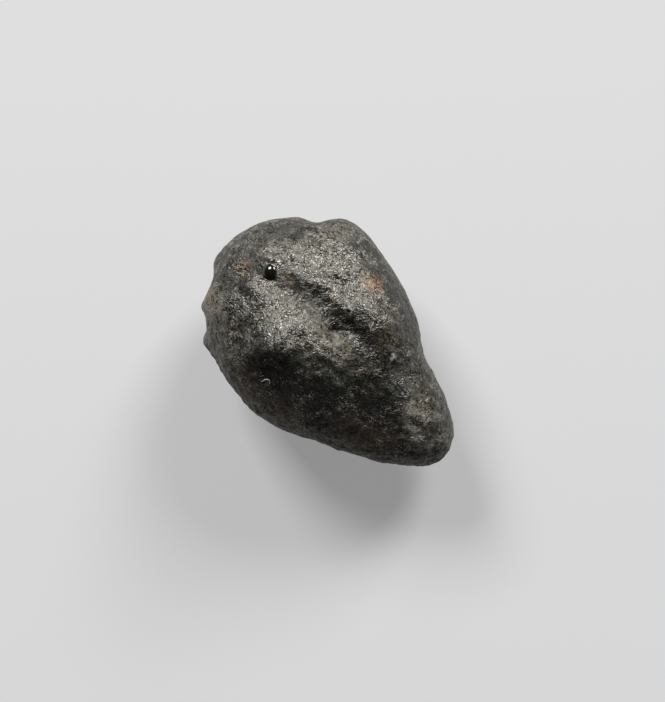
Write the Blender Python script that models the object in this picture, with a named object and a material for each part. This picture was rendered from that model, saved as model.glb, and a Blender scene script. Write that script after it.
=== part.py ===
"""A small stone meteorite in its fusion crust: a teardrop pebble, blunt at one end and drawn out to a
snout at the other.

The long axis lies along X with the snout at +X, and Z is up. The origin is under the middle of the
stone, on the plane that its flat resting spot lies in. Sizes below are in millimetres, and the last
step turns them into metres.
"""

import math

import bmesh
import bpy
from mathutils import Matrix, Vector, noise

METRES_PER_MM = 0.001

# The whole stone
LENGTH = 7.6
SECTION_SQUARENESS = 2.25  # 2 is an ellipse, more is fuller at the shoulders
FACES_ALONG_SIDE = 27

# Cross-sections at equal angles from the blunt end to the snout, as on a boat's lines. Each row is
# how far the stone reaches to the left (+Y), to the right (-Y), up, and down from the long axis.
AXIS_HEIGHT = 1.85
SECTIONS = (
    # left, right, up, down
    (0.00, 0.00, 0.05, -0.05),
    (0.84, 0.84, 0.95, 0.80),
    (1.66, 1.80, 1.66, 1.50),
    (2.50, 2.33, 2.08, 1.93),
    (2.50, 2.50, 2.18, 2.00),
    (2.17, 2.26, 2.10, 1.91),
    (1.59, 1.60, 1.42, 1.62),
    (1.22, 0.98, 0.92, 1.36),
    (0.75, 0.35, 0.38, 1.02),
    (0.16, -0.16, -0.34, 0.34),
)

# Lumps (height above 0) and hollows (below 0) of the crust. Each row is where it sits, its reach
# along and across its own long direction, how far that direction is turned from X, and its height.
RELIEF = (
    # The notch in the blunt end's left shoulder, between its two corner lumps
    ((-2.70, 1.94, 2.30), 0.30, 0.75, 0, -0.09),
    ((-3.06, 1.60, 2.20), 0.30, 0.60, 0, 0.09),
    ((-2.10, 2.42, 2.30), 0.46, 0.65, 0, 0.10),
    # The two nodules on the blunt end's right edge, and the dips beside them
    ((-3.57, -0.66, 2.00), 0.30, 0.60, 0, 0.11),
    ((-3.30, -1.16, 2.00), 0.27, 0.50, 0, -0.24),
    ((-3.05, -1.64, 1.80), 0.22, 0.42, 0, 0.06),
    ((-2.68, -1.93, 2.00), 0.20, 0.50, 0, -0.24),
    ((-2.36, -2.20, 1.80), 0.30, 0.45, 0, 0.15),
    # The waist that sets off the snout on its left side
    ((1.70, 1.70, 1.90), 0.50, 0.80, 0, -0.10),
    ((2.75, 1.20, 1.90), 0.55, 0.80, 0, 0.03),
    # The long shallow furrow over the back, the fold along its left side, and the broad mounds
    ((-1.25, 0.22, 4.10), 1.15, 0.50, 2, -0.10),
    ((-1.60, 0.61, 3.87), 0.75, 0.30, 24, 0.09),
    ((-0.78, -0.78, 4.05), 1.00, 0.75, 15, 0.22),
    ((-0.50, -1.08, 4.12), 0.60, 0.38, 40, 0.14),
    ((-2.85, 0.75, 3.30), 0.75, 0.80, 0, 0.09),
    # Wide flattenings of the back: towards the blunt end, and two where it slopes to the snout
    ((-1.70, -0.45, 4.00), 1.20, 0.90, 0, -0.09),
    ((0.90, -0.35, 3.90), 0.80, 0.50, 0, -0.11),
    ((2.10, -0.40, 3.15), 0.50, 0.45, 0, -0.08),
    # The swelling of the left shoulder, outside the ridge
    ((0.37, 1.78, 3.28), 0.50, 0.35, 0, 0.06),
    ((0.26, 1.67, 3.51), 0.40, 0.30, 0, 0.05),
    # Where the right-hand mound falls off towards the blunt end
    ((-2.67, -0.69, 3.63), 0.55, 0.45, 20, -0.08),
    ((-1.80, -1.30, 3.72), 0.38, 0.75, 48, -0.08),
    # The ridge left of the furrow, falling steeply into a trough on its right
    ((0.45, 1.16, 3.85), 0.85, 0.42, 14, 0.22),
    ((0.30, 0.56, 4.00), 0.60, 0.34, 20, -0.16),
    # The hollow where the furrow and the trough meet, and the knob on its right
    ((-0.12, 0.48, 4.00), 0.30, 0.24, 15, -0.12),
    ((0.28, 0.08, 4.10), 0.42, 0.32, 30, 0.06),
    # The bead near the blunt end
    ((-2.20, 0.07, 3.75), 0.19, 0.19, 0, 0.05),
    # The snout: a low hump on its back, a worn pit near the tip and another on its right side
    ((1.55, 0.40, 3.20), 0.60, 0.45, 0, -0.08),
    ((2.70, 0.40, 2.60), 0.60, 0.45, 0, 0.06),
    ((3.25, 0.50, 2.30), 0.20, 0.18, 0, -0.08),
    ((1.90, -1.20, 1.60), 0.24, 0.22, 0, -0.10),
    # Shallow thumb-marks and the low swellings between them, round the flanks
    ((0.10, -1.55, 3.50), 1.00, 0.55, -10, -0.10),
    ((-1.30, -2.00, 2.90), 0.55, 0.70, 0, 0.08),
    ((-2.05, -1.85, 0.95), 0.70, 0.50, 20, -0.10),
    ((-0.30, -2.25, 0.95), 0.55, 0.60, -30, 0.07),
    ((1.00, -1.75, 0.90), 0.75, 0.45, 15, -0.11),
    ((2.45, -0.95, 0.75), 0.45, 0.40, 0, 0.05),
    ((-3.25, 0.15, 1.10), 0.80, 0.60, 10, -0.12),
    ((-2.60, 1.60, 0.90), 0.60, 0.55, 0, 0.08),
    ((-1.10, 2.15, 1.00), 0.85, 0.50, -15, -0.12),
    ((0.55, 1.95, 1.00), 0.55, 0.50, 25, 0.06),
    ((1.85, 1.25, 0.95), 0.60, 0.45, 0, -0.06),
    ((3.10, 0.70, 1.15), 0.40, 0.40, 0, 0.05),
    ((-1.45, 0.55, 0.10), 0.90, 0.60, 30, -0.09),
    ((1.75, 0.10, 0.35), 0.80, 0.50, 0, -0.08),
    # Small swellings and dips of the outline on the right side
    ((-0.17, -2.50, 1.90), 0.45, 0.80, 0, 0.06),
    ((1.35, -1.90, 1.80), 0.40, 0.80, 0, -0.06),
)

# Gentle unevenness all over: its height and the size of its waves
SWELLS = ((0.07, 1.9), (0.035, 0.8), (0.014, 0.35))

FLAT_SPOT_DEPTH = 0.10  # how much of the belly the resting plane takes off

CRUST_COLOUR = (0.035, 0.033, 0.030, 1.0)
CRUST_ROUGHNESS = 0.45


def clear_scene():
    """Removes the objects that the startup file brings."""
    for old in list(bpy.data.objects):
        bpy.data.objects.remove(old)


def through(values, place, mirror):
    """A smooth curve through equally spaced values. Beyond either end it goes on as the values
    mirrored: mirror is 1 where it leaves the end level, and -1 where it passes through nothing."""
    last = len(values) - 1
    start = min(int(place), last - 1)
    part = place - start

    def value(index):
        if index < 0:
            return mirror * values[-index]
        if index > last:
            return mirror * values[2 * last - index]
        return values[index]

    before, here, after, beyond = (value(start + step) for step in (-1, 0, 1, 2))
    slope_here = (after - before) / 2
    slope_after = (beyond - here) / 2
    rest = 1 - part
    return (
        here * (1 + 2 * part) * rest**2
        + slope_here * part * rest**2
        + after * (3 - 2 * part) * part**2
        - slope_after * rest * part**2
    )


def section_curves():
    """The middle and the half-size of the sections, sideways and upwards, as four lists."""
    left, right, up, down = zip(*SECTIONS)
    middle_y = [(a - b) / 2 for a, b in zip(left, right)]
    middle_z = [(a - b) / 2 for a, b in zip(up, down)]
    half_y = [(a + b) / 2 for a, b in zip(left, right)]
    half_z = [(a + b) / 2 for a, b in zip(up, down)]
    return middle_y, middle_z, half_y, half_z


def pebble_point(direction, curves):
    """Where a point of the unit sphere goes on the plain pebble, in millimetres."""
    middle_y, middle_z, half_y, half_z = curves
    angle = math.acos(max(-1.0, min(1.0, -direction.x)))
    place = angle / math.pi * (len(SECTIONS) - 1)
    round_y, round_z = direction.y, direction.z
    ring = math.hypot(round_y, round_z)
    if ring > 1e-9:
        round_y, round_z = round_y / ring, round_z / ring
        power = SECTION_SQUARENESS
        fullness = (abs(round_y) ** power + abs(round_z) ** power) ** (-1 / power)
        round_y, round_z = round_y * fullness, round_z * fullness
    return Vector(
        (
            LENGTH / 2 * direction.x,
            through(middle_y, place, 1) + through(half_y, place, -1) * round_y,
            AXIS_HEIGHT + through(middle_z, place, 1) + through(half_z, place, -1) * round_z,
        )
    )


def unit_ball():
    """A ball of even squares: a cube, its sides divided, then blown up."""
    mesh = bmesh.new()
    bmesh.ops.create_cube(mesh, size=2.0)
    bmesh.ops.subdivide_edges(mesh, edges=mesh.edges, cuts=FACES_ALONG_SIDE - 1, use_grid_fill=True)
    for vertex in mesh.verts:
        even = Vector([math.tan(math.pi / 4 * side) for side in vertex.co])
        vertex.co = even.normalized()
    return mesh


def add_relief(mesh, seat, reach_along, reach_across, turn, height):
    """Raises or sinks the surface round the point nearest to seat, along that point's normal."""
    mesh.normal_update()
    nearest = min(mesh.verts, key=lambda vertex: (vertex.co - Vector(seat)).length_squared)
    centre, normal = nearest.co.copy(), nearest.normal.copy()
    along = Vector((1, 0, 0)) - normal * normal.x
    along.normalize()
    along.rotate(Matrix.Rotation(math.radians(turn), 3, normal))
    across = normal.cross(along)
    depth_reach = max(reach_along, reach_across)
    for vertex in mesh.verts:
        offset = vertex.co - centre
        distance = (
            (offset.dot(along) / reach_along) ** 2
            + (offset.dot(across) / reach_across) ** 2
            + (offset.dot(normal) / depth_reach) ** 2
        )
        vertex.co += normal * height * math.exp(-distance)


def add_swells(mesh):
    """Moves every point in or out a little by smooth noise, in waves of several sizes."""
    mesh.normal_update()
    for vertex in mesh.verts:
        move = sum(height * noise.noise(vertex.co / size) for height, size in SWELLS)
        vertex.co += vertex.normal * move


def settle(mesh):
    """Puts the middle over the origin and cuts the belly flat where the stone rests."""
    low_x, high_x = (pick(v.co.x for v in mesh.verts) for pick in (min, max))
    low_y, high_y = (pick(v.co.y for v in mesh.verts) for pick in (min, max))
    lowest = min(v.co.z for v in mesh.verts)
    middle = Vector(((low_x + high_x) / 2, (low_y + high_y) / 2, lowest + FLAT_SPOT_DEPTH))
    for vertex in mesh.verts:
        vertex.co -= middle
        vertex.co.z = max(vertex.co.z, 0.0)


def crust_material():
    material = bpy.data.materials.new("fusion_crust")
    material.use_nodes = True
    surface = material.node_tree.nodes["Principled BSDF"]
    surface.inputs["Base Color"].default_value = CRUST_COLOUR
    surface.inputs["Roughness"].default_value = CRUST_ROUGHNESS
    surface.inputs["Metallic"].default_value = 0.0
    return material


def build_stone(collection):
    """The stone, as one closed mesh."""
    shape = unit_ball()
    curves = section_curves()
    for vertex in shape.verts:
        vertex.co = pebble_point(vertex.co, curves)
    add_swells(shape)
    for seat, reach_along, reach_across, turn, height in RELIEF:
        add_relief(shape, seat, reach_along, reach_across, turn, height)
    settle(shape)
    bmesh.ops.scale(shape, vec=Vector((1, 1, 1)) * METRES_PER_MM, verts=shape.verts)
    bmesh.ops.recalc_face_normals(shape, faces=shape.faces)
    mesh = bpy.data.meshes.new("stone")
    shape.to_mesh(mesh)
    shape.free()
    mesh.shade_smooth()
    mesh.materials.append(crust_material())
    stone = bpy.data.objects.new("stone", mesh)
    collection.objects.link(stone)
    return stone


def main():
    clear_scene()
    collection = bpy.data.collections.new("stone_meteorite")
    bpy.context.scene.collection.children.link(collection)
    build_stone(collection)


main()
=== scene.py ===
# %% [markdown]
# A small stone meteorite, seen from above. It is one piece: a teardrop-shaped pebble that melted on
# the outside as it fell, and froze again in a thin black skin, the fusion crust. The solid model
# has its lumps, furrows and flat resting spot. This script adds what a close look shows: a mesh
# fine enough for the wrinkles of the crust, the crust's finish, a floor, soft light and a camera.
#
# The stone's long axis runs along X, from the blunt end to the snout. Its left and right are those
# of somebody who looks that way. Blender works in metres. The stone is only 7.6 mm long, so its
# places and sizes are written in millimetres, and MM turns them into metres.

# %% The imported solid
import math

import bmesh
import bpy
import numpy as np
from mathutils import Matrix, Vector, noise


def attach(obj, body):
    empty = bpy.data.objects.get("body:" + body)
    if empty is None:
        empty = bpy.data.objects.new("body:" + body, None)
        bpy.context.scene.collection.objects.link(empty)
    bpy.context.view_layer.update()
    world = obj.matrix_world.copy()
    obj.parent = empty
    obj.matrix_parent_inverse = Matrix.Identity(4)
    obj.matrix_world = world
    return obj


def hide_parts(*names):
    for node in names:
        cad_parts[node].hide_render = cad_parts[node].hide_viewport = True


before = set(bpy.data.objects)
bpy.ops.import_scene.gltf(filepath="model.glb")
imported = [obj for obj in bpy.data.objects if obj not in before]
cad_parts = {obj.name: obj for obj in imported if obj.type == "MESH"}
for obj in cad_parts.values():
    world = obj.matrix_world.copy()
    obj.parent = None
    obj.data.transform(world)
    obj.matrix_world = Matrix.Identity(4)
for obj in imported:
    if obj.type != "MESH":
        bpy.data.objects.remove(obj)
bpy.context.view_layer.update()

MM = 0.001
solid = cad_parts["stone"]

# %% [markdown]
# In the picture the long axis is turned 48 degrees clockwise from the right. The right and the top
# of the picture are named here as directions over the stone, because the light, the shade and the
# run of the wrinkles are placed by them too. Angles would do, but directions can be added up, and
# compared with the way a surface faces.

# %% Directions of the picture
LONG_AXIS_TURN = math.radians(48)

UP = Vector((0, 0, 1))
picture_right = Vector((math.cos(LONG_AXIS_TURN), math.sin(LONG_AXIS_TURN), 0))
picture_up = UP.cross(picture_right)
print("right:", [round(part, 2) for part in picture_right], "up:", [round(part, 2) for part in picture_up])

# %% [markdown]
# The camera looks from almost straight above. It stands 7 degrees off towards the bottom of the
# picture, and 4 degrees off towards its right. It could be turned with three angles, but the three
# directions that make up its matrix are easier to check: right and up in the picture, and back to
# the lens. The lens follows from the distance, and from how large the stone is in the picture.

# %% Camera
PICTURE_HEIGHT = 702
PIXELS_PER_MM = 39.8  # at the stone's widest outline
CAMERA_DISTANCE = 42 * MM
LEAN_DOWN, LEAN_RIGHT = math.radians(7), math.radians(4)
AIM_RIGHT, AIM_UP, AIM_HEIGHT = -0.05 * MM, -0.025 * MM, 1.9 * MM
SENSOR = 36.0  # millimetres along the picture's longer side
NEAREST_SEEN, FARTHEST_SEEN = CAMERA_DISTANCE / 20, CAMERA_DISTANCE * 100


def put(name, data):
    """A new object in the scene, from a mesh, a curve, a light or a camera."""
    thing = bpy.data.objects.new(name, data)
    bpy.context.scene.collection.objects.link(thing)
    return thing


def turned_to(right, up, back, place):
    """A matrix that puts something at a place, turned to three directions."""
    return Matrix.Translation(place) @ Matrix((right, up, back)).transposed().to_4x4()


aim = UP * AIM_HEIGHT + picture_right * AIM_RIGHT + picture_up * AIM_UP
back = (UP - picture_up * math.tan(LEAN_DOWN) + picture_right * math.tan(LEAN_RIGHT)).normalized()
right = picture_up.cross(back).normalized()
camera_data = bpy.data.cameras.new("camera")
camera_data.sensor_width = SENSOR
camera_data.lens = PIXELS_PER_MM / MM * CAMERA_DISTANCE / PICTURE_HEIGHT * SENSOR
camera_data.clip_start, camera_data.clip_end = NEAREST_SEEN, FARTHEST_SEEN
camera = put("camera", camera_data)
camera.matrix_world = turned_to(right, back.cross(right), back, aim + back * CAMERA_DISTANCE)
bpy.context.scene.camera = camera
print("lens, mm:", round(camera_data.lens, 1))

# %% [markdown]
# The finer shape starts from the solid itself, so nothing has to be fitted. The solid is made of
# triangles. Joined in pairs, they become the even squares that a subdivision surface likes, and
# two rounds of subdivision leave points about 0.04 mm apart. A sculpted mesh would do as well, but
# this one follows the solid if the solid changes.

# %% A fine mesh on the solid
SUBDIVISIONS = 2
PAIR_ANGLE = math.radians(60)
WELD_DISTANCE = 0.0001 * MM


def squared_copy(source, name):
    """A copy of a triangle mesh, welded, with its triangles joined to squares where they pair up."""
    shape = bmesh.new()
    shape.from_mesh(source)
    bmesh.ops.remove_doubles(shape, verts=shape.verts, dist=WELD_DISTANCE)
    bmesh.ops.join_triangles(
        shape, faces=shape.faces, angle_face_threshold=PAIR_ANGLE, angle_shape_threshold=PAIR_ANGLE
    )
    mesh = bpy.data.meshes.new(name)
    shape.to_mesh(mesh)
    shape.free()
    return mesh


def as_mesh(holder):
    """The mesh that an object shows, its modifiers included. The object itself is removed."""
    shown = holder.evaluated_get(bpy.context.evaluated_depsgraph_get())
    made = bpy.data.meshes.new_from_object(shown)
    bpy.data.objects.remove(holder)
    return made


holder = put("holder", squared_copy(solid.data, "squares"))
smooth = holder.modifiers.new("smooth", "SUBSURF")
smooth.levels = smooth.render_levels = SUBDIVISIONS
stone_mesh = as_mesh(holder)
stone_mesh.name = "stone"
print("points:", len(stone_mesh.vertices), "faces:", len(stone_mesh.polygons))

# %% [markdown]
# The back of the stone is where the crust's detail is finest, and a viewer sees it first. The faces
# there are divided once more. Dividing everything again would make four times as many faces for
# flanks that are plainer.

# %% Finer faces on the back
BACK_CENTRE, BACK_REACH = (-0.7, 0.2, 3.9), (2.1, 1.7, 0.75)


def on_the_back(place):
    """Whether a place lies in an egg-shaped space round the middle of the back."""
    away = [(a - b) / reach for a, b, reach in zip(place, BACK_CENTRE, BACK_REACH)]
    return Vector(away).length < 1


def divide_where(mesh, chosen):
    """Divides the faces of a mesh whose centre, in millimetres, is chosen."""
    shape = bmesh.new()
    shape.from_mesh(mesh)
    faces = [face for face in shape.faces if chosen(face.calc_center_median() / MM)]
    edges = list(dict.fromkeys(edge for face in faces for edge in face.edges))
    bmesh.ops.subdivide_edges(shape, edges=edges, cuts=1, use_grid_fill=True)
    shape.to_mesh(mesh)
    shape.free()


divide_where(stone_mesh, on_the_back)
triangles = sum(len(face.vertices) - 2 for face in stone_mesh.polygons)
print("points:", len(stone_mesh.vertices), "triangles:", triangles)

# %% [markdown]
# All the finer forms are made by moving points of this mesh along the way they face. A Displace
# modifier moves points too, but it needs a picture or a stock texture to say how far, and code can
# use any formula. These helpers read the points and the way each faces, in millimetres, find the
# point nearest to a place, and put the points back.

# %% Points and normals
def read_points(mesh):
    """The mesh's points and normals, in millimetres, as two arrays of rows."""
    points = np.empty(len(mesh.vertices) * 3, np.float32)
    normals = np.empty_like(points)
    mesh.vertices.foreach_get("co", points)
    mesh.vertex_normals.foreach_get("vector", normals)
    return points.reshape(-1, 3).astype(float) / MM, normals.reshape(-1, 3).astype(float)


def write_points(mesh, points):
    """Puts points in millimetres back into the mesh."""
    mesh.vertices.foreach_set("co", (points * MM).astype(np.float32).ravel())
    mesh.update()


def nearest_point(points, place):
    """The number of the point that is nearest to a place."""
    return np.argmin(np.linalg.norm(points - np.array(place), axis=1))


points, normals = read_points(stone_mesh)
print("points read:", len(points), "highest, mm:", round(points[:, 2].max(), 2))

# %% [markdown]
# While the skin was soft, it folded, sagged and swelled. Many of these forms are too small for the
# solid. A sculptor would add them with a brush. Here the brush is a formula, a smooth bell: the
# points round a seat move along the normal there, by less and less away from it. A bell may be
# longer one way than the other, and turned. A higher power gives it a flatter top and steeper
# sides. A bell is one row of numbers, so it is easier to find and to change than a brush stroke.

# %% A bell on the stone
def raise_form(points, normals, seat, along_reach, across_reach, turn, height, power):
    """Moves the points round a seat along the normal there, by a bell of a height."""
    nearest = nearest_point(points, seat)
    centre, normal = points[nearest].copy(), Vector(normals[nearest])
    along = Vector((1, 0, 0)) - normal * normal.x
    along.normalize()
    along.rotate(Matrix.Rotation(math.radians(turn), 3, normal))
    across = normal.cross(along)
    offsets = points - centre
    deep_reach = max(along_reach, across_reach)
    away = (
        (offsets @ np.array(along) / along_reach) ** 2
        + (offsets @ np.array(across) / across_reach) ** 2
        + (offsets @ np.array(normal) / deep_reach) ** 2
    )
    points += np.outer(height * np.exp(-(away ** (power / 2))), np.array(normal))


print("share of a bell's height that is left at its reach:", round(math.exp(-1), 2))

# %% [markdown]
# The back of the stone has one long fold, shorter ones above it, a broad mound, and a furrow
# between them that ends in a crack. The solid has the broad forms. These bells are their crests,
# edges, hollows and swellings, each seated on the solid, in millimetres. Noise would give folds of
# this kind too, but not at these places.

# %% Small forms of the back
BACK_FORMS = (
    # seat, reach along and across, turn from the long axis in degrees, height, power
    # the crest of the long fold, and the creases and swellings of the back round it
    ((-1.39, 0.60, 3.95), 0.55, 0.17, 24, 0.050, 2),
    ((-2.50, 0.41, 3.81), 0.30, 0.14, 30, -0.030, 2),
    ((-1.67, 1.48, 3.71), 0.30, 0.14, 48, 0.030, 2),
    ((-0.55, -0.32, 4.18), 0.35, 0.17, 48, 0.050, 2),
    ((-0.06, 0.22, 3.96), 0.18, 0.18, 48, -0.050, 2),
    ((0.56, 0.04, 3.98), 0.30, 0.16, 40, -0.025, 2),
    ((-0.30, -1.25, 4.14), 0.50, 0.40, 48, -0.080, 2),
    ((-2.41, -0.55, 3.66), 0.24, 0.16, 10, 0.040, 2),
    ((-2.65, -0.76, 3.49), 0.20, 0.20, 0, -0.040, 2),
    ((-2.73, 0.03, 3.63), 0.30, 0.14, 30, -0.030, 2),
    ((-0.64, 0.26, 4.02), 0.35, 0.20, 0, -0.035, 2),
    ((-1.09, 1.66, 3.63), 0.30, 0.14, 0, -0.025, 2),
    ((-1.25, 0.55, 3.98), 0.35, 0.15, 24, 0.020, 2),
    # the bright fold beside the bead, and the hollows near it
    ((-2.47, 0.31, 3.76), 0.34, 0.13, 48, 0.045, 2),
    ((-2.50, 0.28, 3.75), 0.24, 0.18, 30, 0.040, 2),
    ((-2.68, -0.45, 3.63), 0.26, 0.20, 0, -0.070, 2),
    ((-1.92, -0.08, 3.86), 0.50, 0.25, 10, -0.050, 2),
    # shorter folds above the long one, hollows beside them, and swellings at the left edge
    ((-2.02, 1.13, 3.76), 0.35, 0.16, 48, 0.045, 2),
    ((-1.38, 0.95, 3.85), 0.55, 0.16, 40, 0.030, 2),
    ((-2.51, 1.27, 3.49), 0.30, 0.22, 48, -0.035, 2),
    ((-0.73, 1.09, 3.93), 0.25, 0.22, 30, -0.070, 2),
    ((-1.39, 1.91, 3.46), 0.25, 0.15, 48, 0.060, 2),
    ((-0.60, 1.80, 3.48), 0.30, 0.20, 0, 0.060, 2),
    # swellings along the furrow
    ((0.05, 0.85, 3.83), 0.55, 0.18, 0, 0.080, 2),
    ((-0.80, 0.20, 3.92), 0.35, 0.16, 0, 0.040, 2),
    # swellings along the edges of the broad mound
    ((-2.15, -0.55, 3.90), 0.45, 0.17, 6, 0.080, 2),
    ((-0.65, -0.85, 4.20), 0.42, 0.26, 48, 0.060, 2),
    ((-0.85, -0.22, 4.08), 0.35, 0.22, 88, 0.080, 2),
    ((-0.80, -1.25, 4.05), 0.55, 0.35, 60, 0.050, 2),
    ((0.02, 0.38, 3.86), 0.50, 0.20, 0, 0.080, 2),
    # the crack at the furrow's end
    ((0.02, 0.34, 3.82), 0.20, 0.045, 40, -0.070, 4),
)

for form in BACK_FORMS:
    raise_form(points, normals, *form)
print("small forms of the back:", len(BACK_FORMS))

# %% [markdown]
# The flanks have shallow hollows with lumps between them, as a thumb leaves in clay, and the snout
# has small raised places and pits. They are bells as well. They are raised on the same points, and
# the points go back into the mesh at the end.

# %% Small forms of the flanks and the snout
FLANK_AND_SNOUT_FORMS = (
    # seat, reach along and across, turn from the long axis in degrees, height, power
    # two lumps of the snout
    ((3.20, 0.52, 2.44), 0.25, 0.20, 0, 0.040, 2),
    ((3.31, 0.08, 2.55), 0.20, 0.14, 0, 0.050, 2),
    # hollows of the flanks, and the lumps between them
    ((1.00, -0.95, 3.69), 0.40, 0.32, 30, -0.060, 2),
    ((1.91, -0.10, 3.30), 0.30, 0.60, 48, -0.050, 2),
    ((0.76, -0.25, 3.97), 0.30, 0.26, 0, 0.020, 2),
    ((1.41, 0.35, 3.50), 0.40, 0.35, 0, 0.040, 2),
    ((0.96, 1.26, 3.67), 0.26, 0.22, 0, -0.040, 2),
    # the dark hollow low on the right flank
    ((1.93, -1.06, 3.02), 0.22, 0.20, 0, -0.070, 3),
    # smaller raised places of the snout, and the pits between them
    ((2.68, 0.60, 2.88), 0.30, 0.26, 30, -0.060, 2),
    ((3.10, -0.13, 2.62), 0.22, 0.20, 0, 0.060, 2),
    ((3.19, 0.44, 2.59), 0.16, 0.13, 0, -0.060, 3),
    ((2.85, 0.20, 2.90), 0.12, 0.10, 40, -0.035, 3),
    ((3.08, 0.77, 2.47), 0.16, 0.14, 0, 0.030, 2),
)

for form in FLANK_AND_SNOUT_FORMS:
    raise_form(points, normals, *form)
write_points(stone_mesh, points)
print("small forms of the flanks and the snout:", len(FLANK_AND_SNOUT_FORMS))

# %% [markdown]
# One round bead of glass sits in the crust near the blunt end, a drop of melt that froze as a ball.
# A ball of its own, half sunk, would leave hidden faces inside the stone. Instead the points near
# its middle are moved out onto a sphere, which gives a round cap with a sharp foot, as no bell
# would.

# %% Bead of glass
BEAD_PLACE = (-2.20, 0.07, 3.75)
BEAD_RADIUS, BEAD_SUNK = 0.27, 0.18

points, normals = read_points(stone_mesh)
nearest = nearest_point(points, BEAD_PLACE)
bead_seat = Vector(points[nearest])
bead_middle = points[nearest] - normals[nearest] * BEAD_SUNK
spokes = points - bead_middle
distances = np.linalg.norm(spokes, axis=1)
in_bead = distances < BEAD_RADIUS
points[in_bead] = bead_middle + spokes[in_bead] / distances[in_bead][:, None] * BEAD_RADIUS
write_points(stone_mesh, points)
print("points in the bead:", int(in_bead.sum()))

# %% [markdown]
# The crust itself. Melted skin runs and wrinkles before it freezes, so the surface is covered in
# short worm-like ridges about a tenth of a millimetre apart, drawn out one way, between rounder
# grains where the melt stood still. A bump in the material would shade like them, but only real
# relief shows at the stone's edge. Both are smooth noise. Folding the noise turns its middle
# values into crests, stretching the coordinates draws the ridges out, and bending them with a
# slower noise keeps the ridges from running straight. That slower noise starts at places drawn at
# random, so it has a seed, and the crust comes out the same each time. What faces the bottom of
# the picture is rough with round knobs instead of ridges. The bead is glass and stays smooth.

# %% Wrinkles of the crust
RIDGE_LENGTH, RIDGE_WIDTH, RIDGE_HEIGHT = 0.22, 0.10, 0.008
BEND_SIZE, BEND, BEND_SEED = 0.60, 0.18, 1
GRAIN_SIZE, GRAIN_HEIGHT = 0.11, 0.007
KNOB_SIZE, KNOB_HEIGHT = 0.17, 0.030
LUMP_SIZE, LUMP_HEIGHT = 0.50, 0.018
LUMP_SMOOTHNESS, LUMP_STEP, LUMP_LAYERS = 0.8, 2.2, 2
KNOBS_ON_TOP = 0.5  # share of the knobs on a level surface
RIDGES_LOST = 0.8  # share of the ridges that full knobs take away
SMOOTH_REACH, SMOOTH_POWER = 0.20, 6  # round the bead, which has no wrinkles


def crust_height(place, normal):
    """How far the crust stands out at a place, in millimetres."""
    point = Vector(place)
    knobbly = min(1.0, max(0.0, KNOBS_ON_TOP - Vector(normal).dot(picture_up)))
    bent = point + noise.noise_vector(point / BEND_SIZE) * BEND
    along, aside = bent.dot(picture_right), bent.dot(picture_up)
    drawn = Vector((along / RIDGE_LENGTH, aside / RIDGE_WIDTH, bent.z / RIDGE_WIDTH))
    ridges = 1 - 2 * abs(noise.noise(drawn))
    grains = noise.noise(bent / GRAIN_SIZE)
    lumps = noise.fractal(point / LUMP_SIZE, LUMP_SMOOTHNESS, LUMP_STEP, LUMP_LAYERS)
    knobs = noise.noise(point / KNOB_SIZE)
    height = RIDGE_HEIGHT * ridges * (1 - RIDGES_LOST * knobbly) + GRAIN_HEIGHT * grains
    height += LUMP_HEIGHT * lumps + KNOB_HEIGHT * knobbly * knobs
    on_bead = math.exp(-(((point - bead_seat).length / SMOOTH_REACH) ** SMOOTH_POWER))
    return height * (1 - on_bead)


noise.seed_set(BEND_SEED)
points, normals = read_points(stone_mesh)
heights = np.array([crust_height(*pair) for pair in zip(points, normals)])
write_points(stone_mesh, points + normals * (heights - heights.mean())[:, None])
print("crust, mm:", round(heights.min(), 3), "to", round(heights.max(), 3))

# %% [markdown]
# The stone stands on its flat spot, so no wrinkle may reach below the floor. A cut would do it, but
# it is enough to set the points that are too low down on the floor. The finished mesh then becomes
# the piece that is seen.

# %% Flat resting spot
points, normals = read_points(stone_mesh)
below = int((points[:, 2] < 0).sum())
points[:, 2] = np.maximum(points[:, 2], 0.0)
write_points(stone_mesh, points)
stone_mesh.polygons.foreach_set("use_smooth", [True] * len(stone_mesh.polygons))
stone = put("stone_crust", stone_mesh)
print("points set down on the floor:", below)


# %% [markdown]
# A material is a web of nodes. It can be drawn by hand in Blender's editor, but as sums in Python
# it is shorter, and can be read like any other code. A shader socket is wrapped in a small class,
# and adding or multiplying wrapped sockets adds the Math nodes. Any other kind of node comes from
# one method. The crust's material starts below, with a maker that only adds nodes to it.

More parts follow.
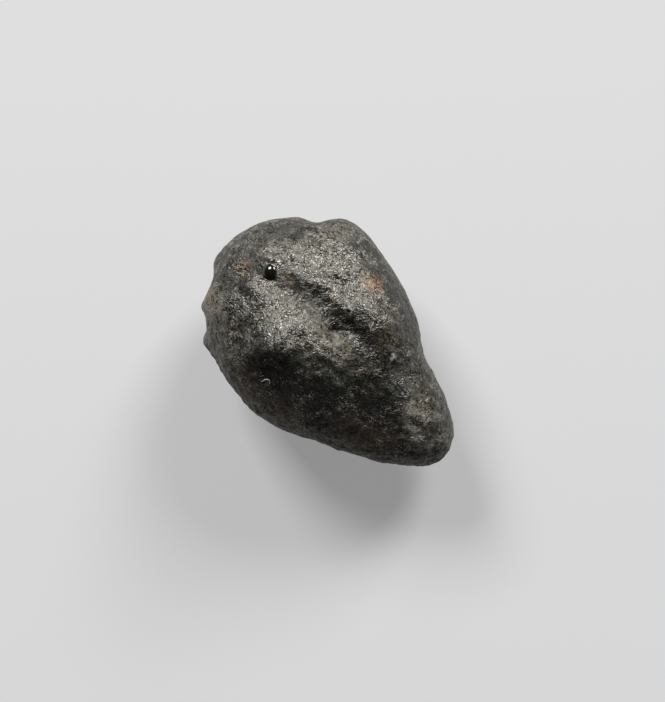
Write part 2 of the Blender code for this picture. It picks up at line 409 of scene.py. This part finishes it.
# %% Arithmetic on sockets
class Wire:
    """An output socket of a material's nodes. Arithmetic on it adds Math nodes."""

    # A Mix node has sockets for each kind of value. These are the numbers of those for colours.
    FIRST_COLOUR, SECOND_COLOUR, MIXED_COLOUR = 6, 7, 2

    def __init__(self, tree, socket=None):
        self.tree, self.socket = tree, socket

    def node(self, kind, settings=None, inputs=None, output=0):
        """Adds a node of a kind, sets it, feeds its inputs, and gives a wire from an output."""
        made = self.tree.nodes.new("ShaderNode" + kind)
        for name, value in (settings or {}).items():
            setattr(made, name, value)
        for name, value in (inputs or {}).items():
            if isinstance(value, Wire):
                self.tree.links.new(value.socket, made.inputs[name])
            else:
                made.inputs[name].default_value = value
        return Wire(self.tree, made.outputs[output])

    def math(self, operation, *values):
        """Adds a Math node that works on some values."""
        return self.node("Math", {"operation": operation}, dict(enumerate(values)))

    def __add__(self, other):
        return self.math("ADD", self, other)

    def __sub__(self, other):
        return self.math("SUBTRACT", self, other)

    def __rsub__(self, other):
        return self.math("SUBTRACT", other, self)

    def __mul__(self, other):
        return self.math("MULTIPLY", self, other)

    __radd__ = __add__
    __rmul__ = __mul__

    def size(self):
        """The value without its sign."""
        return self.math("ABSOLUTE", self)

    def between(self, low, high):
        """0 below low and 1 above high, with a smooth step from one to the other."""
        settings = {"interpolation_type": "SMOOTHSTEP"}
        return self.node("MapRange", settings, {"Value": self, "From Min": low, "From Max": high})

    def at_least(self, least):
        """A mask from 0 to 1 squeezed, so that it starts at a least value."""
        return least + (1 - least) * self

    def mixed(self, first, second):
        """The first colour where this wire is 0, and the second where it is 1."""
        inputs = {"Factor": self, self.FIRST_COLOUR: first, self.SECOND_COLOUR: second}
        return self.node("Mix", {"data_type": "RGBA"}, inputs, output=self.MIXED_COLOUR)


crust = bpy.data.materials.new("crust")
crust.use_nodes = True
tree = crust.node_tree
finish = tree.nodes["Principled BSDF"]
maker = Wire(tree)
print("nodes at the start:", len(tree.nodes))

# %% [markdown]
# Places on the stone, for the material. Unwrapping the stone onto a flat map would tear somewhere,
# so the coordinates are those of its own three axes, turned from metres to millimetres. A wave is
# smooth noise with features of one size, and a cloud is a wave cut off below and above. A patch is
# the distance from a seat, made ragged by noise.

# %% Places on the stone
NOISE_MIDDLE = 0.5
RAGGEDNESS_SIZE, PATCH_CORE = 0.25, 0.3

metres = maker.node("TexCoord", output="Object")
millimetres = maker.node("VectorMath", {"operation": "SCALE"}, {0: metres, "Scale": 1 / MM})


def wave(size, detail=2.0, place=None, output=0):
    """Noise between 0 and 1, with features of a size in millimetres."""
    inputs = {"Vector": place or millimetres, "Scale": 1 / size, "Detail": detail}
    return maker.node("TexNoise", {}, inputs, output)


def cloud(size, low, high, detail):
    """0 where a wave is under low, and 1 where it is over high."""
    return wave(size, detail).between(low, high)


def distance_from(seat):
    """How far the surface is from a seat, in millimetres."""
    return maker.node("VectorMath", {"operation": "DISTANCE"}, {0: millimetres, 1: seat}, "Value")


raggedness = wave(RAGGEDNESS_SIZE) - NOISE_MIDDLE


def patch(seat, reach):
    """1 at a seat on the stone, fading to 0 at its reach, in millimetres."""
    return 1 - (distance_from(seat) + raggedness * reach).between(PATCH_CORE * reach, reach)


print("nodes so far:", len(tree.nodes))

# %% [markdown]
# Two more masks come from the way the surface faces. The shaded flank faces the bottom of the
# picture, away from the lights; on it the crust is rougher, and its colour is darkened as painted
# shade. The steep sides fall away all round. A list of patches could mark them, but the normal
# already says where they are.

# %% Shaded flank and steep sides
SHADE_FULL, SHADE_NONE = -0.50, -0.15  # how far the normal points to the picture's top
STEEP_FULL, STEEP_NONE = 0.30, 0.65  # how far it points up

facing = maker.node("TexCoord", output="Normal")
upward = maker.node("SeparateXYZ", {}, {"Vector": facing}, "Z")
topward = maker.node("VectorMath", {"operation": "DOT_PRODUCT"}, {0: facing, 1: tuple(picture_up)}, "Value")
shade = 1 - topward.between(SHADE_FULL, SHADE_NONE)
steep = 1 - upward.between(STEEP_FULL, STEEP_NONE)
print("nodes so far:", len(tree.nodes))

# %% [markdown]
# The ground of the crust is black to dark brown glass with a mosaic of small mineral grains in it,
# some brown and some grey, and some paler than others. Noise alone looks like smoke. The cells of a
# Voronoi texture have edges, as grains do, and bent coordinates keep them from looking laid out.

# %% Ground and grains
GRAIN_CELL = 0.055
BENDING_SIZE, BENDING = 0.4, (0.3, 0.3, 0.3)
BROWN_CLOUD = (0.9, 0.40, 0.62, 4.0)  # size, low, high, detail
GRAINY_CLOUD = (0.7, 0.35, 0.65, 3.0)
BROWNEST, GREYEST = 0.3, 0.7
PALE_FROM, PALEST, LEAST_GRAINS = 0.35, 0.95, 0.25
# how far painted shade pulls the shaded flank's colour towards black
PAINTED_SHADE_DARKENING = 0.8


def colour(red, green, blue):
    """A colour as a shader's socket takes it."""
    return (red, green, blue, 1.0)


BLACK, DARK_BROWN = colour(0.004, 0.004, 0.003), colour(0.013, 0.009, 0.006)
GRAIN_BROWN, GRAIN_GREY = colour(0.044, 0.031, 0.017), colour(0.034, 0.035, 0.029)

bending = wave(BENDING_SIZE, detail=1.0, output="Color")
bent = maker.node("VectorMath", {"operation": "MULTIPLY_ADD"}, {0: bending, 1: BENDING, 2: millimetres})
cells = maker.node("TexVoronoi", {}, {"Vector": bent, "Scale": 1 / GRAIN_CELL}, "Color")
paleness = maker.node("SeparateColor", {}, {"Color": cells}, "Red")
kind = maker.node("SeparateColor", {}, {"Color": cells}, "Green")
grain_colour = kind.between(BROWNEST, GREYEST).mixed(GRAIN_BROWN, GRAIN_GREY)
grains = paleness.between(PALE_FROM, PALEST) * cloud(*GRAINY_CLOUD).at_least(LEAST_GRAINS)

base = cloud(*BROWN_CLOUD).mixed(BLACK, DARK_BROWN)
base = grains.mixed(base, grain_colour)
# painted shade: the colour of the shaded flank is pulled towards black
base = (shade * PAINTED_SHADE_DARKENING).mixed(base, BLACK)
print("nodes so far:", len(tree.nodes))

# %% [markdown]
# The crest of a wrinkle is worn, and shows as a thin pale thread; the thread also stands in for
# the glint along the crest, a painted highlight, so there is less of it on the shaded flank.
# Between wrinkles run thin black lines, painted shade in the creases. Both would be tedious to
# draw. Smooth noise crosses its middle value along winding lines, so a thread or a crease is where
# it is close to the middle, and a cloud breaks it up.

# %% Threads and creases
THREAD_SIZE, THREAD_CORE, THREAD_EDGE = 0.10, 0.02, 0.09
THREAD_CLOUD = (0.22, 0.44, 0.60, 2.0)
THREAD_STRENGTH, THREAD_HIGHLIGHT_LOST_IN_SHADE = 0.6, 0.4
CREASE_SIZE, CREASE_CORE, CREASE_EDGE = 0.13, 0.015, 0.07
CREASE_CLOUD = (0.30, 0.42, 0.58, 2.0)
PALEST_GREY = colour(0.21, 0.200, 0.170)


def winding_lines(size, core, edge):
    """1 along the lines where smooth noise crosses its middle, and 0 away from them."""
    return 1 - (wave(size, detail=1.0, place=bent) - NOISE_MIDDLE).size().between(core, edge)


thread = winding_lines(THREAD_SIZE, THREAD_CORE, THREAD_EDGE) * cloud(*THREAD_CLOUD)
# pale threads: worn crests, with a painted highlight that fades on the shaded flank
base = (thread * THREAD_STRENGTH * (1 - THREAD_HIGHLIGHT_LOST_IN_SHADE * shade)).mixed(base, PALEST_GREY)
crease = winding_lines(CREASE_SIZE, CREASE_CORE, CREASE_EDGE) * cloud(*CREASE_CLOUD)
print("nodes so far:", len(tree.nodes))

# %% [markdown]
# Seen as a whole, the crust is brown in one place and green-grey in another, and pale where it is
# worn. Where the iron in it has begun to rust it is tan or orange. The black patches in its hollows,
# pit and crack, on its tips and shoulders and between its lit folds are painted shade, and the pale
# streaks over the lit folds are painted sheen. Painting would do as well, but a list of places is
# easier to read and to change. Each patch has a seat on the stone, a reach and a strength, and a
# later one lies over an earlier one. All but the black ones are speckled, because they are made of
# grains.

# %% Patches of colour
SPECKLE_CLOUD, LEAST_SPECKLE = (0.07, 0.38, 0.62, 3.0), 0.2
RUST, TAN = colour(0.19, 0.095, 0.035), colour(0.14, 0.122, 0.090)
RED_BROWN, OLIVE = colour(0.062, 0.042, 0.030), colour(0.080, 0.068, 0.038)
BLUE_GREY, PALE_GREY = colour(0.055, 0.058, 0.051), colour(0.112, 0.103, 0.087)
WHITE_GRAIN = colour(0.60, 0.59, 0.55)

PATCHES = (
    # colour, seat, reach, strength
    # the red-brown foot of the right flank
    (RED_BROWN, (1.93, -1.06, 3.02), 0.80, 1.0),
    (RED_BROWN, (0.50, -2.00, 3.00), 0.80, 1.0),
    (RED_BROWN, (-0.70, -2.30, 3.00), 0.80, 0.9),
    (RED_BROWN, (2.60, -0.77, 2.69), 0.70, 0.9),
    # painted shade: black in the hollows of the back and of both flanks, and on the tips of both ends
    (BLACK, (-0.35, -1.45, 3.90), 0.95, 1.0),
    (BLACK, (1.00, -0.95, 3.69), 0.65, 1.0),
    (BLACK, (1.91, -0.30, 3.30), 0.60, 1.0),
    (BLACK, (0.00, 0.62, 3.80), 0.40, 1.0),
    (BLACK, (0.80, 1.00, 3.75), 0.35, 0.8),
    (BLACK, (0.30, 2.05, 2.80), 0.90, 0.7),
    (BLACK, (1.10, 1.75, 2.60), 0.80, 0.7),
    (BLACK, (3.20, -0.45, 2.35), 0.50, 0.8),
    (BLACK, (-3.05, -0.05, 3.45), 0.50, 0.6),
    # worn grey places of the back, and paler ones on the right flank
    (BLUE_GREY, (0.80, -0.40, 3.93), 0.50, 1.0),
    (BLUE_GREY, (1.78, 0.70, 3.25), 0.60, 1.0),
    (BLUE_GREY, (0.02, -0.92, 4.13), 0.35, 0.7),
    (PALE_GREY, (-2.70, -1.50, 3.10), 0.80, 1.0),
    (PALE_GREY, (-1.20, -1.85, 3.30), 0.35, 0.8),
    # painted shade: black on the shoulders of the blunt end
    (BLACK, (-2.95, 0.75, 3.45), 0.60, 0.8),
    (BLACK, (-2.70, 1.20, 3.40), 0.60, 0.6),
    (BLACK, (-2.72, -0.85, 3.42), 0.40, 0.9),
    # painted sheen: pale streaks over the lit folds of the back, one on the neck, and two along the right
    # flank
    (PALE_GREY, (-1.25, 0.62, 4.00), 0.35, 0.35),
    (PALE_GREY, (-1.85, 0.80, 3.90), 0.60, 0.40),
    (PALE_GREY, (-1.35, 0.95, 3.92), 0.40, 0.35),
    (PALE_GREY, (-2.62, 0.36, 3.72), 0.34, 0.80),
    (PALE_GREY, (-2.15, 1.10, 3.73), 0.40, 0.45),
    (PALE_GREY, (-1.78, 0.69, 3.95), 0.30, 0.50),
    (PALE_GREY, (-1.15, -0.30, 4.10), 0.60, 0.35),
    (PALE_GREY, (-1.46, -0.43, 4.01), 0.25, 0.35),
    (PALE_GREY, (-0.81, -0.37, 4.23), 0.28, 0.50),
    (PALE_GREY, (-0.53, -0.93, 4.31), 0.25, 0.35),
    (PALE_GREY, (2.09, 0.78, 3.07), 0.40, 0.40),
    (PALE_GREY, (-2.45, -1.56, 3.29), 0.45, 0.50),
    (PALE_GREY, (-1.45, -2.33, 2.89), 0.50, 0.40),
    # painted shade: dark streaks between the pale ones
    (BLACK, (-2.35, -1.14, 3.55), 0.35, 0.7),
    (BLACK, (-1.06, -1.16, 4.11), 0.30, 0.6),
    (BLACK, (-0.99, 0.31, 3.98), 0.30, 0.6),
    (BLACK, (-1.74, 0.06, 3.88), 0.22, 0.5),
    # olive and tan places of the back
    (OLIVE, (0.93, 1.05, 3.70), 0.45, 1.0),
    (OLIVE, (0.60, 0.10, 3.95), 0.40, 0.6),
    (TAN, (-1.98, 1.87, 3.37), 0.60, 0.35),
    (TAN, (0.05, 0.05, 3.95), 0.40, 0.4),
    (TAN, (-2.05, -0.20, 3.85), 0.40, 0.5),
    # the snout: its olive and tan neck, its pale lumps, and painted shade in a black pit between them
    (OLIVE, (2.55, 0.50, 2.97), 0.60, 0.4),
    (PALE_GREY, (2.60, 0.45, 2.95), 0.60, 0.6),
    (TAN, (2.80, 0.58, 2.80), 0.35, 0.6),
    (TAN, (2.85, -0.02, 2.86), 0.30, 0.8),
    (PALE_GREY, (3.35, 0.10, 2.50), 0.34, 1.0),
    (PALEST_GREY, (3.40, 0.16, 2.43), 0.22, 0.8),
    (PALEST_GREY, (3.18, 0.04, 2.66), 0.13, 0.7),
    (PALE_GREY, (3.10, -0.02, 2.72), 0.32, 1.0),
    (PALE_GREY, (3.05, 0.66, 2.60), 0.32, 1.0),
    (PALE_GREY, (2.67, 0.25, 2.94), 0.36, 1.0),
    (BLACK, (3.23, 0.30, 2.55), 0.24, 0.9),
    # painted shade in the crack at the furrow's end
    (BLACK, (-0.15, 0.35, 3.88), 0.26, 1.0),
    # one white grain
    (WHITE_GRAIN, (1.28, 0.91, 3.50), 0.09, 1.0),
    # rust
    (RUST, (-0.37, 1.71, 3.56), 0.40, 0.65),
    (RUST, (-2.80, -0.38, 3.60), 0.30, 0.4),
    (RUST, (-1.70, 0.25, 3.88), 0.25, 0.25),
    (RUST, (-2.88, -1.47, 3.02), 0.35, 0.4),
)

speckle = cloud(*SPECKLE_CLOUD).at_least(LEAST_SPECKLE)
for patch_colour, seat, reach, strength in PATCHES:
    spread = 1.0 if patch_colour == BLACK else speckle
    base = (patch(seat, reach) * spread * strength).mixed(base, patch_colour)
print("patches:", len(PATCHES), "nodes so far:", len(tree.nodes))

# %% [markdown]
# Small pale grains show through the crust as spots. On the shaded flank they also stand in for the
# glints of its grains, as painted highlights, so there are few in the light and many on the shaded
# flank, in clusters. So many small things are made by noise, not by a list. The painted shade of the
# creases comes last, black over everything, and the bead is black glass. The result is the base
# colour.

# %% Spots, creases and bead
SPOT_CLOUD, CLUSTER_CLOUD = (0.045, 0.58, 0.64, 1.0), (0.40, 0.45, 0.65, 2.0)
SPOTS_IN_LIGHT, SPOTS_OUT_OF_CLUSTERS = 0.10, 0.10
# how dark the painted shade in the creases is
CREASE_PAINTED_SHADE = 0.8
BEAD_CORE, BEAD_EDGE = 0.17, 0.23
SPOT_GREY = colour(0.20, 0.185, 0.155)

spots = cloud(*SPOT_CLOUD) * cloud(*CLUSTER_CLOUD).at_least(SPOTS_OUT_OF_CLUSTERS)
# pale spots: grains, and painted glints where the flank is shaded
base = (spots * shade.at_least(SPOTS_IN_LIGHT)).mixed(base, SPOT_GREY)
# painted shade: black in the creases between wrinkles
base = (crease * CREASE_PAINTED_SHADE).mixed(base, BLACK)
bead = 1 - distance_from(tuple(bead_seat)).between(BEAD_CORE, BEAD_EDGE)
base = bead.mixed(base, BLACK)
tree.links.new(base.socket, finish.inputs["Base Color"])
print("nodes so far:", len(tree.nodes))

# %% [markdown]
# The gloss. Frozen glass is satin where it is whole and dull where it is worn or dusty, and the
# bead is polished. One roughness for all would make a plastic stone, so small clouds vary it, and
# a list of dull places, written like the patches, takes the shine from single hollows.

# %% Gloss
GLOSSY, GLOSS_SPREAD, GLOSS_CLOUD = 0.27, 0.23, (0.08, 0.35, 0.65, 1.0)
BEAD_POLISH, DULLNESS, SHADE_DULLNESS = 0.7, 0.30, 0.25
GLASS_IOR, WARM_SHINE = 1.55, colour(1.0, 0.98, 0.89)

DULL_PLACES = (
    # seat, reach, strength
    # the blunt end and its shoulders
    ((-2.75, -0.20, 3.62), 0.40, 0.8),
    ((-3.20, 0.25, 3.35), 0.60, 1.2),
    ((-2.80, 0.72, 3.60), 0.50, 0.6),
    ((-2.72, -0.85, 3.42), 0.40, 1.2),
    # the left edge, the black hollow of the right flank, and the neck of the snout
    ((-0.60, 1.80, 3.50), 0.40, 0.6),
    ((-0.50, -1.60, 3.80), 0.80, 1.0),
    ((2.60, 0.45, 2.95), 0.60, 0.8),
    # along the furrow
    ((-1.75, 0.30, 3.85), 0.40, 0.8),
    ((-1.30, 0.30, 3.87), 0.40, 0.8),
    ((-0.80, 0.25, 3.92), 0.35, 0.7),
    ((-0.30, 0.02, 4.00), 0.45, 0.9),
    ((0.30, 0.10, 4.00), 0.50, 0.9),
    ((0.75, 0.15, 3.90), 0.45, 0.7),
    # two places low on the left edge
    ((-2.00, 2.00, 3.30), 0.60, 0.6),
    ((-2.95, 1.20, 3.20), 0.60, 0.6),
)

roughness = (GLOSSY + GLOSS_SPREAD * cloud(*GLOSS_CLOUD)) * (1 - BEAD_POLISH * bead)
for seat, reach, strength in DULL_PLACES:
    roughness = roughness + patch(seat, reach) * (strength * DULLNESS)
roughness = roughness + shade * SHADE_DULLNESS
tree.links.new(roughness.socket, finish.inputs["Roughness"])
finish.inputs["IOR"].default_value = GLASS_IOR
finish.inputs["Specular Tint"].default_value = WARM_SHINE
print("dull places:", len(DULL_PLACES), "nodes so far:", len(tree.nodes))

# %% [markdown]
# On the shaded flank, on the steep sides and in the creases the crust is made matt black, as
# painted shade: it mirrors almost nothing of the lights and the pale floor there. More roughness
# only spreads that haze. A black surface that counts as metal mirrors just its own blackness, so a
# share of metal takes the haze away. It is a means to a matt black, not a claim about the stone.

# %% Matt places, painted shade
STEEP_MATT, METAL_SHARE, HOLLOW_METAL, CREASE_METAL = 0.8, 0.50, 0.20, 0.75
BLACK_HOLLOW, BLACK_HOLLOW_REACH = (-0.35, -1.50, 3.80), 1.3

# painted shade: matt black on the shaded flank and on the steep sides
painted_shade_matt = shade * (1 - steep) + steep * (1 - shade) * STEEP_MATT
metal = painted_shade_matt * (METAL_SHARE + HOLLOW_METAL * patch(BLACK_HOLLOW, BLACK_HOLLOW_REACH))
# painted shade in the creases, where they are not already matt
metal = metal + crease * (1 - painted_shade_matt) * (1 - bead) * CREASE_METAL
tree.links.new(metal.socket, finish.inputs["Metallic"])
print("nodes so far:", len(tree.nodes))

# %% [markdown]
# The finest relief, under a twentieth of a millimetre: short worms drawn out towards the picture's
# right, and round specks, which take over on the shaded flank. Points so close would make the mesh
# too heavy, and the eye sees such fine forms only by their shading, so this is a bump.

# %% Finest relief
WORM_LENGTH, WORM_WIDTH, SPECK_SIZE = 0.11, 0.048, 0.035
WORMS_LOST_IN_SHADE, THREAD_RELIEF = 0.7, 0.3
SPECK_RELIEF, SPECKS_ADDED_IN_SHADE = 0.6, 0.6
BUMP_DEPTH = 0.018 * MM

worm_turn, worm_scale = (0, 0, LONG_AXIS_TURN), (WORM_LENGTH, WORM_WIDTH, WORM_WIDTH)
worm_place = maker.node(
    "Mapping", {"vector_type": "TEXTURE"}, {"Vector": bent, "Rotation": worm_turn, "Scale": worm_scale}
)
worm = wave(1.0, detail=0.5, place=worm_place)
speck = wave(SPECK_SIZE, detail=0.0)
relief = worm * (1 - WORMS_LOST_IN_SHADE * shade)
relief = relief + speck * (SPECK_RELIEF + SPECKS_ADDED_IN_SHADE * shade) + thread * THREAD_RELIEF
relief = relief * (1 - bead)
finest = maker.node("Bump", {}, {"Strength": 1.0, "Distance": BUMP_DEPTH, "Height": relief}, "Normal")
tree.links.new(finest.socket, finish.inputs["Normal"])
stone_mesh.materials.clear()
stone_mesh.materials.append(crust)
print("nodes in all:", len(tree.nodes))

# %% [markdown]
# The stone rests on a plain pale floor. The floor glows a little, which keeps the stone's shadow
# pale, as in a bright room, and throws light back on its edges. A third lamp could fill the
# shadow, but it would put one more glint on the crust.

# %% Floor
FLOOR_SIZE, FLOOR_GREY, FLOOR_ROUGHNESS, FLOOR_GLOW = 400 * MM, 0.235, 0.9, 0.27
WHITE = colour(1.0, 1.0, 1.0)


def plain_material(name, tone, roughness):
    """A material of one tone, and its shader."""
    material = bpy.data.materials.new(name)
    material.use_nodes = True
    shader = material.node_tree.nodes["Principled BSDF"]
    shader.inputs["Base Color"].default_value = tone
    shader.inputs["Roughness"].default_value = roughness
    return material, shader


floor_mesh = bpy.data.meshes.new("floor")
floor_shape = bmesh.new()
bmesh.ops.create_grid(floor_shape, x_segments=1, y_segments=1, size=FLOOR_SIZE / 2)
floor_shape.to_mesh(floor_mesh)
floor_shape.free()
floor = put("floor", floor_mesh)
floor_tone = colour(FLOOR_GREY, FLOOR_GREY, FLOOR_GREY)
floor_material, floor_shader = plain_material("floor", floor_tone, FLOOR_ROUGHNESS)
floor_shader.inputs["Emission Color"].default_value = WHITE
floor_shader.inputs["Emission Strength"].default_value = FLOOR_GLOW
floor_mesh.materials.append(floor_material)
print("floor, m:", [round(side, 2) for side in floor.dimensions])

# %% [markdown]
# Two large soft lights stand above the top of the picture, one to its left and one to its right,
# with a little light from all round. They are square area lights, because the crust mirrors their
# shape: a point lamp would leave hard sparks, and a bright sky would make the stone grey. A
# light's power follows from how bright its face is, so its size can be changed alone.

# %% Lights
LIGHT_DISTANCE, LIGHT_WIDTH, LIGHT_RADIANCE = 250 * MM, 90 * MM, 36.0
LIGHT_BEARINGS = (
    # degrees to the left of the picture's top, degrees above the floor
    (32, 40),
    (-34, 33),
)
ALL_ROUND = 0.05

for degrees_left, degrees_up in LIGHT_BEARINGS:
    turn, height = math.radians(degrees_left), math.radians(degrees_up)
    bearing = picture_up * math.cos(turn) - picture_right * math.sin(turn)
    towards = bearing * math.cos(height) + UP * math.sin(height)
    sideways = bearing.cross(UP)
    light_data = bpy.data.lights.new("softbox", "AREA")
    light_data.shape, light_data.size = "SQUARE", LIGHT_WIDTH
    light_data.energy = LIGHT_RADIANCE * LIGHT_WIDTH**2 * math.pi
    light = put("softbox", light_data)
    light_place = aim + towards * LIGHT_DISTANCE
    light.matrix_world = turned_to(sideways, towards.cross(sideways), towards, light_place)

world = bpy.data.worlds.new("room")
world.use_nodes = True
room = world.node_tree.nodes["Background"]
room.inputs["Color"].default_value = WHITE
room.inputs["Strength"].default_value = ALL_ROUND
bpy.context.scene.world = world
bpy.context.scene.view_settings.view_transform = "Standard"
print("lights:", len(LIGHT_BEARINGS), "watts each:", round(light_data.energy, 2))

# %% [markdown]
# A short fibre of lint has settled on the right flank, bent in the middle, with its ends against the
# crust. It is the one loose thing on the stone. A hair system would make it too, but a curve with a
# round section, turned into a mesh, keeps its shape in any program.

# %% Lint
LINT_PATH = ((-0.40, -1.86, 3.47), (-0.35, -1.75, 3.58), (-0.29, -1.71, 3.58), (-0.22, -1.76, 3.52))
LINT_THICKNESS, LINT_ROUNDNESS = 0.022, 3
LINT_GREY, LINT_ROUGHNESS = colour(0.35, 0.34, 0.32), 0.8


def fibre_mesh(path, thickness):
    """A thin round fibre through a few points, as a mesh."""
    line = bpy.data.curves.new("lint_line", "CURVE")
    line.dimensions = "3D"
    line.bevel_depth = thickness / 2 * MM
    line.bevel_resolution = LINT_ROUNDNESS
    line.use_fill_caps = True
    strand = line.splines.new("BEZIER")
    strand.bezier_points.add(len(path) - 1)
    for knot, place in zip(strand.bezier_points, path):
        knot.co = Vector(place) * MM
        knot.handle_left_type = knot.handle_right_type = "AUTO"
    return as_mesh(put("holder", line))


lint = put("lint", fibre_mesh(LINT_PATH, LINT_THICKNESS))
lint_material, lint_shader = plain_material("lint", LINT_GREY, LINT_ROUGHNESS)
lint.data.materials.clear()
lint.data.materials.append(lint_material)
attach(lint, "root")
print("lint faces:", len(lint.data.polygons))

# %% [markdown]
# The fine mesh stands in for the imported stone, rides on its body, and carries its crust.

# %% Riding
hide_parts("stone")
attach(stone, "root")
